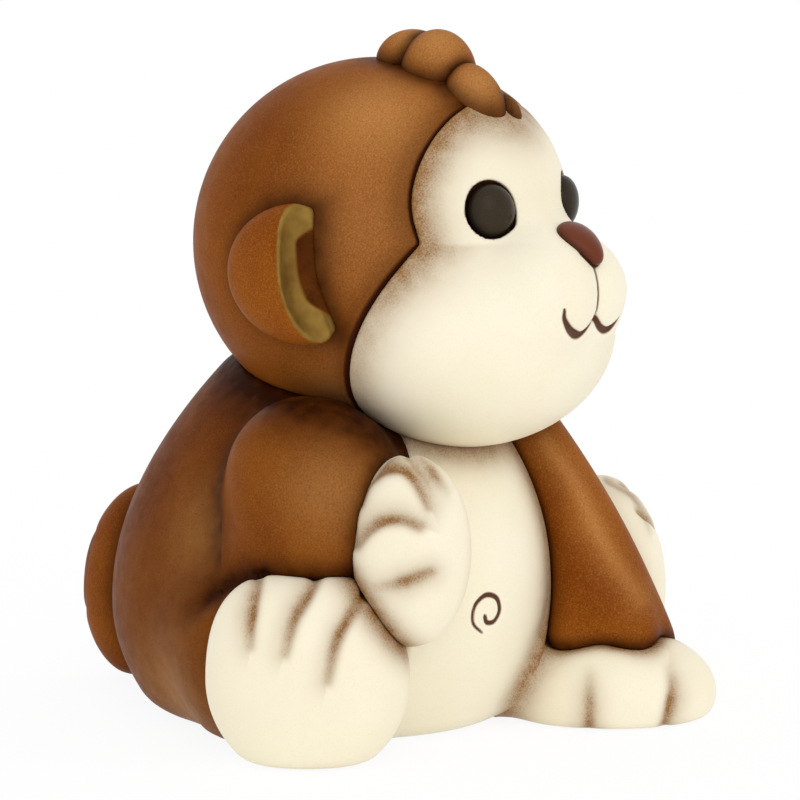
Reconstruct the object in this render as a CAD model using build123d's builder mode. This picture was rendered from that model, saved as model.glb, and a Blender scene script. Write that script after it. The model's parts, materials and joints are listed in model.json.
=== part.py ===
from build123d import *
import os
from math import atan2, cos, degrees, pi, radians, sin, sqrt

# Sitting monkey figurine: a hollow ceramic ornament, luted together from separate cast and pressed pieces.
# Millimetres. +Z is up, the monkey faces -Y, its right side is -X, and the origin is on the flat base.
# A rounded piece is an ellipsoid, given by its half-axes along its own X, Y and Z. The torso and the left arm are
# drawn through ellipses at several heights. Where two pieces meet, the smaller one is cut by the outer form of the
# larger one, so that they touch face to face.

os.makedirs("parts", exist_ok=True)

# Cast wall, the vent in the base and the passage between the hollows of the body and the head
WALL = 4.0
VENT_RADIUS = 5.0
VENT_BACK = 14.0
NECK_PASSAGE_RADIUS = 8.0

# Torso: its front is round, and its back slopes from its widest height to the nape and to the base
TORSO_X = 41.0
TORSO_Y = 45.5
TORSO_TOP = 72.0
TORSO_SECTIONS = 7
TORSO_FRONT_Z = 46.0
TORSO_FRONT_HEIGHT = 28.0
TORSO_BACK_HEIGHT = 20.0
TORSO_BACK_ABOVE = 67.0
TORSO_BACK_BELOW = 48.6

# Belly panel, as it is seen from the front
BELLY_FOOT_HALF = 25.0
BELLY_WIDEST_HALF = 26.0
BELLY_WIDEST_HEIGHT = 18.0
BELLY_NECK_HALF = 12.0
BELLY_NECK_HEIGHT = 57.0
BELLY_BACK = 24.0

# Head: its place over the base, its turn to the left, and the skull
HEAD_HEIGHT = 93.0
HEAD_FORWARD = 11.5
HEAD_TURN = 9.0
SKULL_X = 36.0
SKULL_Y = 35.5
SKULL_Z = 35.5

# Face, measured from the skull's centre
FOREHEAD_X = 25.5
FOREHEAD_Y = 25.5
FOREHEAD_Z = 24.0
FOREHEAD_FORWARD = 12.5
FOREHEAD_UP = 8.5
CHEEKS_X = 32.0
CHEEKS_Y = 26.0
CHEEKS_Z = 22.0
CHEEKS_FORWARD = 21.5
CHEEKS_DOWN = 16.0
SNOUT_X = 11.0
SNOUT_Y = 12.0
SNOUT_Z = 9.0
SNOUT_FORWARD = 36.0
SNOUT_DOWN = 3.0
LIP_RADIUS = 10.0
LIP_APART = 5.5
LIP_FORWARD = 41.5
LIP_DOWN = 7.5

# Outline of the face mask, as it is seen from the front
TEMPLE_HALF = 24.5
TEMPLE_UP = 4.0
FACE_ARCH = 23.0
CHEEK_EDGE_HALF = 33.0
CHEEK_EDGE_DOWN = 14.0
CHEEK_BULGE = 1.0
FACE_BACK = 13.0

# Eyes and nose
EYE_X = 5.2
EYE_Y = 3.3
EYE_Z = 5.6
EYE_APART = 12.1
EYE_UP = 9.0
EYE_SUNK = 0.5
NOSE_X = 5.0
NOSE_Y = 4.0
NOSE_Z = 4.0
NOSE_UP = 2.7
NOSE_PROUD = 1.9

# Ears, with the hollow that faces forwards
EAR_X = 6.5
EAR_Y = 10.5
EAR_Z = 13.7
EAR_PROUD = 1.5
EAR_FORWARD = 4.0
EAR_DOWN = 3.2
EAR_RIM = 4.0
EAR_HOLLOW_OUT = 2.0
EAR_HOLLOW_FORWARD = 6.5

# Locks of hair, by their lean from the crown towards the face and their offset to the left
HAIR_BACK_X = 6.0
HAIR_BACK_Y = 7.8
HAIR_BACK_Z = 6.6
HAIR_BACK_LEAN = 13.6
HAIR_BACK_LEFT = 0.0
HAIR_TOP_X = 7.5
HAIR_TOP_Y = 7.5
HAIR_TOP_Z = 9.0
HAIR_TOP_LEAN = 24.5
HAIR_TOP_LEFT = -1.0
HAIR_FRONT_X = 6.0
HAIR_FRONT_Y = 6.2
HAIR_FRONT_Z = 9.0
HAIR_FRONT_LEAN = 40.5
HAIR_FRONT_LEFT = -2.0
HAIR_SIDE_X = 5.5
HAIR_SIDE_Y = 4.8
HAIR_SIDE_Z = 5.5
HAIR_SIDE_LEAN = 46.6
HAIR_SIDE_LEFT = 4.0

# Right arm and its raised hand
ARM_RIGHT_X = 12.0
ARM_RIGHT_Y = 17.0
ARM_RIGHT_Z = 20.5
ARM_RIGHT_INSET = 9.7
ARM_RIGHT_FORWARD = 25.0
ARM_RIGHT_HEIGHT = 45.5
HAND_RIGHT_X = 11.0
HAND_RIGHT_Y = 11.5
HAND_RIGHT_Z = 18.0
HAND_RIGHT_IN = 6.2
HAND_RIGHT_LAP = 7.5
HAND_RIGHT_DROP = 5.5

# Left arm, from the shoulder down to the hem, and its hand on the floor
SHOULDER_X = 8.5
SHOULDER_Y = 10.0
SHOULDER_LEFT = 24.5
SHOULDER_FORWARD = 21.0
SHOULDER_HEIGHT = 62.0
ELBOW_X = 8.8
ELBOW_Y = 9.4
ELBOW_LEFT = 31.0
ELBOW_FORWARD = 38.5
ELBOW_HEIGHT = 36.0
HEM_X = 13.0
HEM_Y = 13.5
HEM_LEFT = 34.2
HEM_FORWARD = 41.1
HEM_HEIGHT = 11.0
HAND_LEFT_X = 21.0
HAND_LEFT_Y = 16.0
HAND_LEFT_Z = 12.5
HAND_LEFT_IN = 2.7
HAND_LEFT_AHEAD = 4.4
HAND_LEFT_HEIGHT = 5.0
HAND_LEFT_TURN = 46.0

# Legs and feet, in the frame of each leg, which is turned about Z so that its X runs along the leg
LEG_RIGHT_X = 17.5
LEG_RIGHT_Y = 19.0
LEG_RIGHT_Z = 19.0
LEG_RIGHT_INSET = 13.0
LEG_RIGHT_FORWARD = 16.5
LEG_RIGHT_HEIGHT = 17.0
LEG_RIGHT_TURN = 45.0
FOOT_RIGHT_X = 13.0
FOOT_RIGHT_Y = 19.0
FOOT_RIGHT_Z = 19.6
FOOT_RIGHT_LAP = 11.9
FOOT_RIGHT_FORWARD = 3.9
FOOT_RIGHT_HEIGHT = 16.0
LEG_LEFT_X = 19.0
LEG_LEFT_Y = 18.0
LEG_LEFT_Z = 18.0
LEG_LEFT_INSET = 11.0
LEG_LEFT_FORWARD = 14.0
LEG_LEFT_HEIGHT = 17.0
LEG_LEFT_TURN = 26.0
FOOT_LEFT_X = 12.0
FOOT_LEFT_Y = 17.0
FOOT_LEFT_Z = 22.0
FOOT_LEFT_LAP = 6.5
FOOT_LEFT_FORWARD = 1.4
FOOT_LEFT_HEIGHT = 21.0

# Tail
TAIL_X = 12.0
TAIL_Y = 13.2
TAIL_Z = 19.7
TAIL_RIGHT = 7.6
TAIL_PROUD = 0.5
TAIL_HEIGHT = 21.8

SKULL = (SKULL_X, SKULL_Y, SKULL_Z)
FOREHEAD = (FOREHEAD_X, FOREHEAD_Y, FOREHEAD_Z)
CHEEKS = (CHEEKS_X, CHEEKS_Y, CHEEKS_Z)
SNOUT = (SNOUT_X, SNOUT_Y, SNOUT_Z)
LIP = (LIP_RADIUS, LIP_RADIUS, LIP_RADIUS)
SIDES = {"right": -1, "left": 1}
ALONG_X = (0, 90, 0)
ALONG_Y = (90, 0, 0)


def form(half_axes, place, wall=0.0, poles=(0, 0, 0)):
    """Ellipsoid at a place, or the hollow inside it where a wall is given.

    The poles of its surface lie on its own Z, or are turned so that one lies in the neighbour that cuts it.
    """
    with BuildPart() as blank:
        Sphere(1, rotation=poles)
        scale(by=tuple(half - wall for half in half_axes))
    return blank.part.moved(place)


def hollow(half_axes, place):
    """Hollow of a cast piece that stands on the base plane: it keeps a floor one wall thick."""
    with BuildPart() as core:
        add(form(half_axes, place, WALL))
        split(bisect_by=Plane.XY.offset(WALL), keep=Keep.TOP)
    return core.part


def front_of(half_axes, x, z):
    """How far the front of an ellipsoid lies before its centre, at an offset from the centre."""
    return half_axes[1] * sqrt(1 - (x / half_axes[0]) ** 2 - (z / half_axes[2]) ** 2)


# Places in the frame of the head
head_place = Location((0, 0, HEAD_HEIGHT), (0, 0, HEAD_TURN)) * Pos(0, -HEAD_FORWARD, 0)
forehead_place = head_place * Pos(0, -FOREHEAD_FORWARD, FOREHEAD_UP)
cheeks_place = head_place * Pos(0, -CHEEKS_FORWARD, -CHEEKS_DOWN)

# Outer form of the whole head
with BuildPart() as head_form:
    add(form(SKULL, head_place))
    add(form(FOREHEAD, forehead_place))
    add(form(CHEEKS, cheeks_place))
    add(form(SNOUT, head_place * Pos(0, -SNOUT_FORWARD, -SNOUT_DOWN)))
    for side in SIDES.values():
        add(form(LIP, head_place * Pos(side * LIP_APART, -LIP_FORWARD, -LIP_DOWN)))

# Wall of the head: the snout and the lips are small enough to be cast full
with BuildPart() as head_wall:
    add(head_form.part)
    add(form(SKULL, head_place, WALL), mode=Mode.SUBTRACT)
    add(form(FOREHEAD, forehead_place, WALL), mode=Mode.SUBTRACT)
    add(form(CHEEKS, cheeks_place, WALL), mode=Mode.SUBTRACT)

# Block that parts the face from the skull: an arch over the temples, cheeks that slope out below it
face_reach = SKULL_Y + CHEEKS_Y + LIP_RADIUS
face_bottom = -(CHEEKS_DOWN + CHEEKS_Z + WALL)
with BuildPart() as face_block:
    with BuildSketch(Plane(head_place * Pos(0, -FACE_BACK, 0) * Plane.XZ.location)):
        with BuildLine():
            EllipticalCenterArc((0, TEMPLE_UP), TEMPLE_HALF, FACE_ARCH, start_angle=0, arc_size=180)
            for side in SIDES.values():
                temple = Vector(side * TEMPLE_HALF, TEMPLE_UP)
                cheek = Vector(side * CHEEK_EDGE_HALF, -CHEEK_EDGE_DOWN)
                bulge = (temple + cheek) / 2 + Vector(side * CHEEK_BULGE, CHEEK_BULGE)
                ThreePointArc(temple, bulge, cheek)
                Line(cheek, (side * CHEEK_EDGE_HALF, face_bottom))
            Line((-CHEEK_EDGE_HALF, face_bottom), (CHEEK_EDGE_HALF, face_bottom))
        make_face()
    extrude(amount=face_reach)

# Eyes stand in the forehead, a little sunk in its surface, and face outwards as it does
forehead_front = front_of(FOREHEAD, EYE_APART, EYE_UP - FOREHEAD_UP)
eye_forward = FOREHEAD_FORWARD + forehead_front - EYE_SUNK
eye_outward = degrees(atan2(EYE_APART / FOREHEAD_X**2, forehead_front / FOREHEAD_Y**2))
eyes = {}
for side_name, side in SIDES.items():
    eye_place = head_place * Location((side * EYE_APART, -eye_forward, EYE_UP), (0, 0, side * eye_outward))
    with BuildPart() as eye:
        add(form((EYE_X, EYE_Y, EYE_Z), eye_place))
    eyes[side_name] = eye

with BuildPart() as face_mask:
    add(head_wall.part)
    add(face_block.part, mode=Mode.INTERSECT)
    for eye in eyes.values():
        add(eye.part, mode=Mode.SUBTRACT)

with BuildPart() as head_shell:
    add(head_wall.part)
    add(face_block.part, mode=Mode.SUBTRACT)
    with Locations(head_place * Pos(0, 0, -SKULL_Z)):
        Cylinder(NECK_PASSAGE_RADIUS, 4 * WALL, mode=Mode.SUBTRACT)

nose_forward = SNOUT_FORWARD + front_of(SNOUT, 0, NOSE_UP + SNOUT_DOWN) + NOSE_PROUD
with BuildPart() as nose:
    add(form((NOSE_X, NOSE_Y, NOSE_Z), head_place * Pos(0, -nose_forward, NOSE_UP), poles=ALONG_Y))
    add(head_form.part, mode=Mode.SUBTRACT)

# Ears, each with a hollow that leaves a rim
ears = {}
for side_name, side in SIDES.items():
    ear_place = head_place * Pos(side * (SKULL_X + EAR_PROUD), -EAR_FORWARD, -EAR_DOWN)
    hollow_place = ear_place * Pos(side * EAR_HOLLOW_OUT, -EAR_HOLLOW_FORWARD, 0)
    with BuildPart() as ear:
        add(form((EAR_X, EAR_Y, EAR_Z), ear_place, poles=ALONG_X))
        add(form((EAR_X, EAR_Y, EAR_Z), hollow_place, EAR_RIM, poles=ALONG_Y), mode=Mode.SUBTRACT)
        add(head_form.part, mode=Mode.SUBTRACT)
    ears[side_name] = ear

# Locks of hair, each cut by the skull and by the lock that overlaps it
lock_sizes = {
    "front": (HAIR_FRONT_X, HAIR_FRONT_Y, HAIR_FRONT_Z, HAIR_FRONT_LEAN, HAIR_FRONT_LEFT, None),
    "top": (HAIR_TOP_X, HAIR_TOP_Y, HAIR_TOP_Z, HAIR_TOP_LEAN, HAIR_TOP_LEFT, "front"),
    "back": (HAIR_BACK_X, HAIR_BACK_Y, HAIR_BACK_Z, HAIR_BACK_LEAN, HAIR_BACK_LEFT, "top"),
    "side": (HAIR_SIDE_X, HAIR_SIDE_Y, HAIR_SIDE_Z, HAIR_SIDE_LEAN, HAIR_SIDE_LEFT, "front"),
}
lock_forms = {}
locks = {}
for lock_name, (half_x, half_y, half_z, lean, left, overlapped_by) in lock_sizes.items():
    root = Pos(left, -SKULL_Y * sin(radians(lean)), SKULL_Z * cos(radians(lean)))
    lock_forms[lock_name] = form((half_x, half_y, half_z), head_place * root)
    with BuildPart() as lock:
        add(lock_forms[lock_name])
        add(head_form.part, mode=Mode.SUBTRACT)
        if overlapped_by:
            add(lock_forms[overlapped_by], mode=Mode.SUBTRACT)
    locks[lock_name] = lock


def torso(wall=0.0):
    """Torso from its flat base to its top in the head, or the hollow inside it where a wall is given."""
    with BuildPart() as trunk:
        for i in range(TORSO_SECTIONS):
            height = TORSO_TOP * i / (TORSO_SECTIONS - 1)
            before = sqrt(1 - ((height - TORSO_FRONT_HEIGHT) / TORSO_FRONT_Z) ** 2)
            rise = height - TORSO_BACK_HEIGHT
            behind = cos(pi / 2 * rise / (TORSO_BACK_ABOVE if rise > 0 else TORSO_BACK_BELOW))
            share = (before + behind) / 2
            level = min(max(height, wall), TORSO_TOP - wall)
            with BuildSketch(Plane((0, TORSO_Y * (behind - before) / 2, level))):
                Ellipse(TORSO_X * share - wall, TORSO_Y * share - wall)
        loft()
    return trunk.part


# Torso, as one wall with a flat base, that the head is seated in
torso_form = torso()
with BuildPart() as torso_wall:
    add(torso_form)
    add(torso(WALL), mode=Mode.SUBTRACT)
    with Locations((0, VENT_BACK, WALL)):
        Hole(VENT_RADIUS, WALL)
    add(head_form.part, mode=Mode.SUBTRACT)

# Block that parts the belly from the torso
with BuildPart() as belly_block:
    with BuildSketch(Plane.XZ.offset(BELLY_BACK)):
        with BuildLine():
            for side in SIDES.values():
                foot = (side * BELLY_FOOT_HALF, 0)
                widest = (side * BELLY_WIDEST_HALF, BELLY_WIDEST_HEIGHT)
                neck = (side * BELLY_NECK_HALF, BELLY_NECK_HEIGHT)
                ThreePointArc(foot, widest, neck)
                Line(neck, (side * BELLY_NECK_HALF, TORSO_TOP))
            Line((-BELLY_FOOT_HALF, 0), (BELLY_FOOT_HALF, 0))
            Line((-BELLY_NECK_HALF, TORSO_TOP), (BELLY_NECK_HALF, TORSO_TOP))
        make_face()
    extrude(amount=TORSO_Y)

with BuildPart() as belly_panel:
    add(torso_wall.part)
    add(belly_block.part, mode=Mode.INTERSECT)

with BuildPart() as body_shell:
    add(torso_wall.part)
    add(belly_block.part, mode=Mode.SUBTRACT)

tail_place = Pos(-TAIL_RIGHT, TORSO_Y + TAIL_PROUD, TAIL_HEIGHT)
with BuildPart() as tail:
    add(form((TAIL_X, TAIL_Y, TAIL_Z), tail_place, poles=ALONG_Y))
    add(torso_form, mode=Mode.SUBTRACT)
    split(bisect_by=Plane.XY, keep=Keep.TOP)

# Right arm, hollow, and the raised hand that leans on it
ARM_RIGHT = (ARM_RIGHT_X, ARM_RIGHT_Y, ARM_RIGHT_Z)
arm_right_place = Pos(-(TORSO_X - ARM_RIGHT_INSET), -ARM_RIGHT_FORWARD, ARM_RIGHT_HEIGHT)
arm_right_form = form(ARM_RIGHT, arm_right_place)
with BuildPart() as arm_right:
    add(arm_right_form)
    add(form(ARM_RIGHT, arm_right_place, WALL), mode=Mode.SUBTRACT)
    add(torso_form, mode=Mode.SUBTRACT)
    add(head_form.part, mode=Mode.SUBTRACT)

hand_right_step = ARM_RIGHT_Y + HAND_RIGHT_Y - HAND_RIGHT_LAP
hand_right_place = arm_right_place * Pos(HAND_RIGHT_IN, -hand_right_step, -HAND_RIGHT_DROP)
hand_right_form = form((HAND_RIGHT_X, HAND_RIGHT_Y, HAND_RIGHT_Z), hand_right_place, poles=ALONG_Y)
with BuildPart() as hand_right:
    add(hand_right_form)
    add(arm_right_form, mode=Mode.SUBTRACT)
    add(torso_form, mode=Mode.SUBTRACT)
    add(head_form.part, mode=Mode.SUBTRACT)


def sleeve(wall=0.0):
    """Left arm from the shoulder to its flared hem, or the hollow inside it where a wall is given."""
    sections = (
        (SHOULDER_X, SHOULDER_Y, SHOULDER_LEFT, SHOULDER_FORWARD, SHOULDER_HEIGHT),
        (ELBOW_X, ELBOW_Y, ELBOW_LEFT, ELBOW_FORWARD, ELBOW_HEIGHT),
        (HEM_X, HEM_Y, HEM_LEFT, HEM_FORWARD, HEM_HEIGHT),
    )
    with BuildPart() as limb:
        for half_x, half_y, left, forward, height in sections:
            with BuildSketch(Plane((left, -forward, height))):
                Ellipse(half_x - wall, half_y - wall)
        loft()
    return limb.part


arm_left_form = sleeve()
with BuildPart() as arm_left:
    add(arm_left_form)
    add(sleeve(WALL), mode=Mode.SUBTRACT)
    add(torso_form, mode=Mode.SUBTRACT)
    add(head_form.part, mode=Mode.SUBTRACT)

# Left hand, pressed full, with a seat for the hem
hand_left_place = Location(
    (HEM_LEFT - HAND_LEFT_IN, -(HEM_FORWARD + HAND_LEFT_AHEAD), HAND_LEFT_HEIGHT), (0, 0, -HAND_LEFT_TURN)
)
hand_left_form = form((HAND_LEFT_X, HAND_LEFT_Y, HAND_LEFT_Z), hand_left_place)
with BuildPart() as hand_left:
    add(hand_left_form)
    add(arm_left_form, mode=Mode.SUBTRACT)
    add(torso_form, mode=Mode.SUBTRACT)
    split(bisect_by=Plane.XY, keep=Keep.TOP)

# Legs and feet, hollow, each foot capping its leg
leg_sizes = {
    "right": (LEG_RIGHT_X, LEG_RIGHT_Y, LEG_RIGHT_Z),
    "left": (LEG_LEFT_X, LEG_LEFT_Y, LEG_LEFT_Z),
}
foot_sizes = {
    "right": (FOOT_RIGHT_X, FOOT_RIGHT_Y, FOOT_RIGHT_Z),
    "left": (FOOT_LEFT_X, FOOT_LEFT_Y, FOOT_LEFT_Z),
}
leg_places = {
    "right": Location(
        (-(TORSO_X - LEG_RIGHT_INSET), -LEG_RIGHT_FORWARD, LEG_RIGHT_HEIGHT), (0, 0, LEG_RIGHT_TURN)
    ),
    "left": Location((TORSO_X - LEG_LEFT_INSET, -LEG_LEFT_FORWARD, LEG_LEFT_HEIGHT), (0, 0, -LEG_LEFT_TURN)),
}
foot_steps = {
    "right": Pos(
        -(LEG_RIGHT_X + FOOT_RIGHT_X - FOOT_RIGHT_LAP),
        -FOOT_RIGHT_FORWARD,
        FOOT_RIGHT_HEIGHT - LEG_RIGHT_HEIGHT,
    ),
    "left": Pos(
        LEG_LEFT_X + FOOT_LEFT_X - FOOT_LEFT_LAP, -FOOT_LEFT_FORWARD, FOOT_LEFT_HEIGHT - LEG_LEFT_HEIGHT
    ),
}
arm_forms = {"right": (arm_right_form, hand_right_form), "left": (arm_left_form, hand_left_form)}
legs = {}
feet = {}
for side_name in SIDES:
    leg_form = form(leg_sizes[side_name], leg_places[side_name])
    with BuildPart() as leg:
        add(leg_form)
        add(hollow(leg_sizes[side_name], leg_places[side_name]), mode=Mode.SUBTRACT)
        for neighbour in (torso_form, *arm_forms[side_name]):
            add(neighbour, mode=Mode.SUBTRACT)
        split(bisect_by=Plane.XY, keep=Keep.TOP)
    legs[side_name] = leg
    foot_place = leg_places[side_name] * foot_steps[side_name]
    with BuildPart() as foot:
        add(form(foot_sizes[side_name], foot_place))
        add(hollow(foot_sizes[side_name], foot_place), mode=Mode.SUBTRACT)
        for neighbour in (leg_form, torso_form, *arm_forms[side_name]):
            add(neighbour, mode=Mode.SUBTRACT)
        split(bisect_by=Plane.XY, keep=Keep.TOP)
    feet[side_name] = foot

pieces = {
    "head_shell": head_shell,
    "face_mask": face_mask,
    "nose": nose,
    "body_shell": body_shell,
    "belly_panel": belly_panel,
    "tail": tail,
    "arm_right": arm_right,
    "hand_right": hand_right,
    "arm_left": arm_left,
    "hand_left": hand_left,
}
for lock_name in lock_sizes:
    pieces[f"hair_curl_{lock_name}"] = locks[lock_name]
for side_name in SIDES:
    pieces[f"ear_{side_name}"] = ears[side_name]
    pieces[f"eye_{side_name}"] = eyes[side_name]
    pieces[f"leg_{side_name}"] = legs[side_name]
    pieces[f"foot_{side_name}"] = feet[side_name]

for piece_name, piece in pieces.items():
    piece.part.label = piece_name
    export_step(piece.part, f"parts/{piece_name}.step")
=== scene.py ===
import json
import math

import bpy
import numpy as np
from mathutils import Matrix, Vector


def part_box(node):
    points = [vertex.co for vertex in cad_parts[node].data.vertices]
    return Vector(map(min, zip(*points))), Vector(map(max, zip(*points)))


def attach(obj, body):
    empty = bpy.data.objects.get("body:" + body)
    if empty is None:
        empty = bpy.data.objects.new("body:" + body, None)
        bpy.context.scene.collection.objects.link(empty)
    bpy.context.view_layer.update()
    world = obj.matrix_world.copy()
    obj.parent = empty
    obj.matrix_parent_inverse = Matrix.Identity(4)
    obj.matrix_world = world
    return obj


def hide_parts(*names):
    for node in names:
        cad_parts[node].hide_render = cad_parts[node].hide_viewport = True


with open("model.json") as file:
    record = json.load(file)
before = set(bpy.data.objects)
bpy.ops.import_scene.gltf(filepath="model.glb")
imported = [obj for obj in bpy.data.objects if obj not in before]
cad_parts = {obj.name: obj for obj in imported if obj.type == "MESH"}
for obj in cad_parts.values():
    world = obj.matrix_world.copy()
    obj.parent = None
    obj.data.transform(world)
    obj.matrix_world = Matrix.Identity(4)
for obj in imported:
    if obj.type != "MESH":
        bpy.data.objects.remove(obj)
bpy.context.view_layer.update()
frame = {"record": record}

# Sitting monkey figurine in satin-glazed ceramic.
# Lengths are millimetres in the frame of the CAD model, up to the point where a mesh is written. +Z is up,
# the monkey faces -Y and its right side is -X. Each piece is the surface where a field is zero. The field is
# negative inside the piece, and two neighbours are parted where their fields are equal.

MM = 0.001
TINY = 1e-9
FAR = 1e6
SIDES = {"right": -1, "left": 1}

# Seams: half of the gap, and the widths over which the edges of the pieces are rounded
SEAM = 0.03
SEAM_EDGE = 0.8
LAID_EDGE = 0.5
FLOOR_EDGE = 2.0

# A crease filled over more than this shows no seam: each piece runs on under its neighbour's surface
FILLED_SEAM = 3.0
FILLED_LAP = 2.5
FILLED_SINK = 0.6
FILLED_EDGE = 0.15

# Meshes: rounds in which the points are drawn onto the surface, the least slope, and the room round a piece
DRAW_ROUNDS = 4
LEAST_SLOPE = 0.05
MARGIN = 4.0
WIDE_MARGIN = 8.0

# Camera of the photograph
CAMERA_AZIMUTH = -46.0
CAMERA_ELEVATION = 8.0
CAMERA_DISTANCE = 800.0
CAMERA_TARGET = (9.56, -9.83, 61.0)
CAMERA_LENS = 183.6

# Place of the head over the base, and its turn to the left
HEAD_HEIGHT = 93.0
HEAD_FORWARD = 11.5
HEAD_TURN = 9.0
HEAD_OFFSET = np.array([0, HEAD_FORWARD, -HEAD_HEIGHT])

# Head: how softly its forms run together
FOREHEAD_BLEND = 6.0
CHEEK_BLEND = 8.0
SNOUT_BLEND = 6.0
LIP_BLEND = 5.0
PHILTRUM_BLEND = 1.2

# Seam between the face and the skull: how far forwards it lies at each height
TEMPLE_FORWARD = 24.3
TEMPLE_UP = 14.0
TEMPLE_BOW = 0.018
TEMPLE_BOW_ABOVE = 0.008
TEMPLE_REACH = 13.0
JAW_FORWARD = 12.5
JAW_DOWN = 29.0
CHEEK_RISE = 31.8
CHEEK_FORWARD = 13.9
CHEEK_BOW = 1.33
CHEEK_RISE_LIMIT = 1.5
NOTCH = 0.6
FACE_EDGE = 1.4
HOOD_EDGE = 2.0
HOOD_LIP = 0.4
HOOD_LIP_WIDTH = 2.4
HOOD_LIP_END = (16.0, 22.0)

# Eyes, turned outwards as the forehead is, in sockets that show a dark rim
EYE_APART = 12.1
EYE_FORWARD = 34.3
EYE_UP = 8.5
EYE_OUTWARD = 28.3
EYE_ROLL = 15.0
EYE_HALF = (4.75, 3.4, 5.15)
SOCKET_HALF = (5.35, 3.6, 5.85)
SOCKET_SHIFT = 0.4
SOCKET_CORNER = 1.5
SOCKET_CORNER_PLACE = (-4.0, -1.9, -4.1)
SOCKET_CORNER_BLEND = 1.5
SOCKET_EDGE = 0.4

# Nose: narrower towards its tip
NOSE_PLACE = (0, -46.5, 2.2)
NOSE_TILT = 38.0
NOSE_HALF = (4.4, 5.5, 2.7)
NOSE_NARROWING = 0.06
NOSE_WIDTHS = (0.5, 1.5)

# Ears, with a wall that faces forwards, bowed in height and scooped
EAR_PLACE = (37.0, -9.0, -2.6)
EAR_HALF = (6.8, 16.5, 13.1)
EAR_BLEND = 2.0
EAR_EDGE = 1.0
EAR_FRONT = 8.75
EAR_FRONT_UP = 0.5
EAR_FRONT_BOW = 0.02
EAR_FRONT_RISE = 0.1
EAR_FRONT_LEAN = 0.15
EAR_RIM_OUT = 43.8
EAR_SCOOP = 1.2
EAR_SCOOP_OUT = 39.5
EAR_SCOOP_HALF = 4.5

# Gold lustre on the wall of an ear: how far it keeps off the head, and the heights between which that grows
EAR_GOLD = 4.2
EAR_GOLD_SINK = 1.5
EAR_GOLD_EDGE = 1.0
EAR_GOLD_LOW = (-13.0, -7.0)
EAR_GOLD_HIGH = (3.0, 8.0)
# Dark on the wall of an ear and at its root: partly paint, partly painted shade in the hollow and the crease
EAR_WALL_FADE = (0.25, 0.6)
EAR_WALL_SHADE = 0.75
EAR_ROOT_SPRAY = (0.6, 2.0)

# Torso: its front is round, and its back slopes from its widest height to the nape and to the base
TORSO_X = 41.0
TORSO_Y = 45.5
TORSO_TOP = 72.0
TORSO_FRONT_Z = 46.0
TORSO_FRONT_HEIGHT = 28.0
TORSO_BACK_HEIGHT = 20.0
TORSO_BACK_ABOVE = 71.0
TORSO_BACK_BELOW = 52.0
TORSO_BACK_END = 0.9
TORSO_LEAST = 0.01
TORSO_EDGE = 4.0
LEAN_STEP = 0.5

# Belly: an ellipse as it is seen from the front, and the plane behind it
BELLY_MIDDLE = (5.0, 10.0)
BELLY_HALF = (25.0, 65.0)
BELLY_BACK = 24.0
BELLY_EDGE = 4.0
BASE_EDGE = 4.0
VENT_RADIUS = 5.0
VENT_BACK = 14.0
VENT_DEPTH = 14.0

# Right arm: how softly the shoulder runs into it
SHOULDER_BLEND = 7.0

# Right foot: how softly its outer toes run into it
TOE_BLEND = 6.0

# Left arm: centre and half-axes of its section at three heights, and the lobes of its hem
SLEEVE_HEIGHTS = (11.0, 36.0, 62.0)
SLEEVE_LEFT = (34.2, 31.0, 24.5)
SLEEVE_FORWARD = (41.1, 38.5, 21.0)
SLEEVE_HALF_X = (14.9, 8.8, 8.5)
SLEEVE_HALF_Y = (15.4, 9.4, 10.0)
SLEEVE_TOP = 65.0
SLEEVE_SPARE = 4.0
SLEEVE_EDGE = 4.0
SLEEVE_SLOPE = 0.85
HEM_LOBES = 5
HEM_LOBE_ANGLE = -104.0
HEM_LOBE_RISE = 0.07
HEM_LOBE_TOP = 34.0
HEM_LINE = 13.4
HEM_DROP = 1.1
HEM_EDGE = 1.2

# Spray: how far it reaches on its crisp side, as a share of its soft side, and the share of its dark core
CRISP_SIDE = 0.4
SPRAY_CORE = 0.55

# Brushed lines: the band in which the painted value rises from 0 to 1, with the line's edge in its middle
LINE_BAND = 1.6
LINE_SOFTNESS = 0.09

# Strokes: the band in which a surface turns from them, and the swell beside a groove, in widths of it
FACING_BAND = 0.3
SWELL_OFFSET = 2.5
SWELL_WIDTH = 2.2
SPIRAL_CLOSING = 0.75
SPIRAL_BOW = 2.5
OUTLINE_STEP = 0.2
OUTLINE_SLOPE = 0.25

# Paint of the head: sprays as (strength, reach), fades as (start, end), half-widths of the brushed lines
HOOD_SPRAY = (0.4, 3.2)
HOOD_LINE = 0.9
BACK_SHADE = 0.16
BACK_FADE = (-12.0, 2.0)
FACE_SPRAYS = ((0.68, 6.0), (0.26, 10.0))
FACE_SPRAY_LOW = 0.65
FACE_SPRAY_FADE = (-12.0, 0.0)
FACE_LINE = 0.3
MUZZLE_FADE = (31.5, 33.5)
NOSE_LINE = 0.45
NOSE_LINE_FADE = (-2.5, 0.5)
SOCKET_LINE = 0.15
# Offset from the middle of each lock to the painted highlight on its top
LOCK_LIGHT = (-2.5, -2.5, 6.0)

# Glaze: sizes of its patches, mottle and grain, the range of noise that is used, and its relief
PATCH_SIZE = 22.0
PATCH_DETAIL = 3.0
MOTTLE_SIZE = 3.0
GRAIN_SIZE = 0.3
GRAIN_DETAIL = 1.0
NOISE_LOW = 0.3
NOISE_HIGH = 0.7
BROKEN_BY_GRAIN = 0.18
BROKEN_BY_MOTTLE = 0.1
ROUGHNESS_SPREAD = 0.05
BUMP_STRENGTH = 0.25
BUMP_HEIGHT = 0.05
GOLD_METAL = 0.6

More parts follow.
